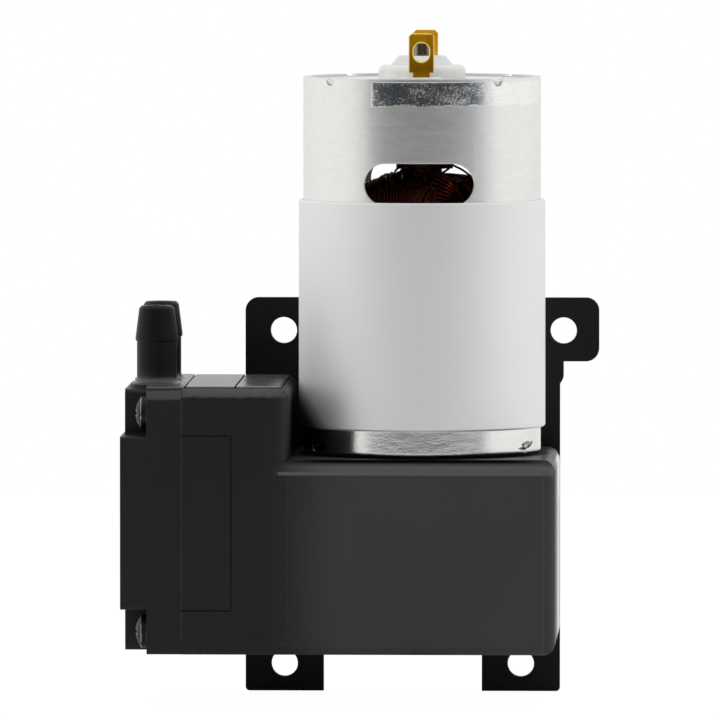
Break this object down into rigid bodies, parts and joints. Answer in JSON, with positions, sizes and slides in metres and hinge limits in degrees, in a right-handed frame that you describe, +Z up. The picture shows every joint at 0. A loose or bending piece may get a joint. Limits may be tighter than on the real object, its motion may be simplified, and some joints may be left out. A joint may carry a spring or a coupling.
{
  "type": "mini air pump",
  "caption": "Miniature diaphragm air pump: upright DC motor on a moulded crankcase, side pump head with two hose barbs and a flat steel mounting bracket.",
  "frame": {"origin": "midway between the two upper mounting holes, on the back face of the bracket", "axes": "+Z up along the motor, +Y out of the back of the bracket, +X away from the pump head"},
  "size_m": [0.071, 0.0417, 0.101],
  "materials": {
    "black_steel": "satin black paint",
    "black_zinc": "blackened screw steel",
    "case_plastic": "fine matte moulded surface",
    "steel": "plain steel",
    "can_steel": "bright zinc plated, drawn",
    "ring_steel": "dull zinc plated",
    "rubber": "smooth",
    "valve_plastic": "natural acetal",
    "rod_plastic": "glass filled nylon",
    "brass": "plain stamped brass",
    "bronze": "sintered bronze",
    "bell_plastic": "natural nylon",
    "carbon": "carbon",
    "magnet": "ferrite",
    "core_steel": "stacked sheets",
    "copper": "enamelled copper wire",
    "thrust_plastic": "plain"
  },
  "bodies": {
    "pump_body": {"bracket": "black_steel", "bracket_screws": "black_zinc", "crankcase": "case_plastic", "crankcase_cover": "case_plastic", "cover_screws": "steel", "head_cover": "case_plastic", "head_screws": "black_zinc", "head_gasket": "rubber", "valve_plate": "valve_plastic", "diaphragm": "rubber", "motor_can": "can_steel", "flux_ring": "ring_steel", "end_bell": "bell_plastic", "terminal_front": "brass", "terminal_rear": "brass", "brush_arms": "bronze", "brushes": "carbon", "magnets": "magnet", "lower_bush": "bronze", "upper_bush": "bronze", "motor_screws": "steel"},
    "rotor": {"motor_shaft": "steel", "armature_core": "core_steel", "armature_windings": "copper", "commutator": "copper", "thrust_washers": "thrust_plastic", "eccentric": "brass", "set_screw": "black_zinc", "bearing_inner_race": "steel"},
    "rod": {"connecting_rod": "rod_plastic", "bearing_outer_race": "steel", "bearing_balls": "steel", "diaphragm_clamp": "steel", "diaphragm_screw": "steel"},
    "intake_valve": {"intake_flap": "rubber"},
    "exhaust_valve": {"exhaust_flap": "rubber"}
  },
  "joints": [
    {"name": "rotor_spin", "type": "hinge", "parent": "pump_body", "child": "rotor", "pos_m": [0.0003, -0.0215, -0.02709], "axis": [0, 0, 1], "continuous": true},
    {"name": "rod_orbit", "type": "hinge", "parent": "rotor", "child": "rod", "pos_m": [0.0019, -0.0215, -0.02709], "axis": [0, 0, 1], "continuous": true, "deforming": ["diaphragm"]},
    {"name": "intake_lift", "type": "hinge", "parent": "pump_body", "child": "intake_valve", "pos_m": [-0.0383, -0.0111, -0.02309], "axis": [0, -1, 0], "range_deg": [0, 12], "stiffness_Nm_per_rad": 0.00002},
    {"name": "exhaust_lift", "type": "hinge", "parent": "pump_body", "child": "exhaust_valve", "pos_m": [-0.0398, -0.0319, -0.02309], "axis": [0, 1, 0], "range_deg": [0, 12], "stiffness_Nm_per_rad": 0.00002}
  ],
  "couplings": [
    {"joint": "rod_orbit", "follows": "rotor_spin", "ratio": -1}
  ]
}
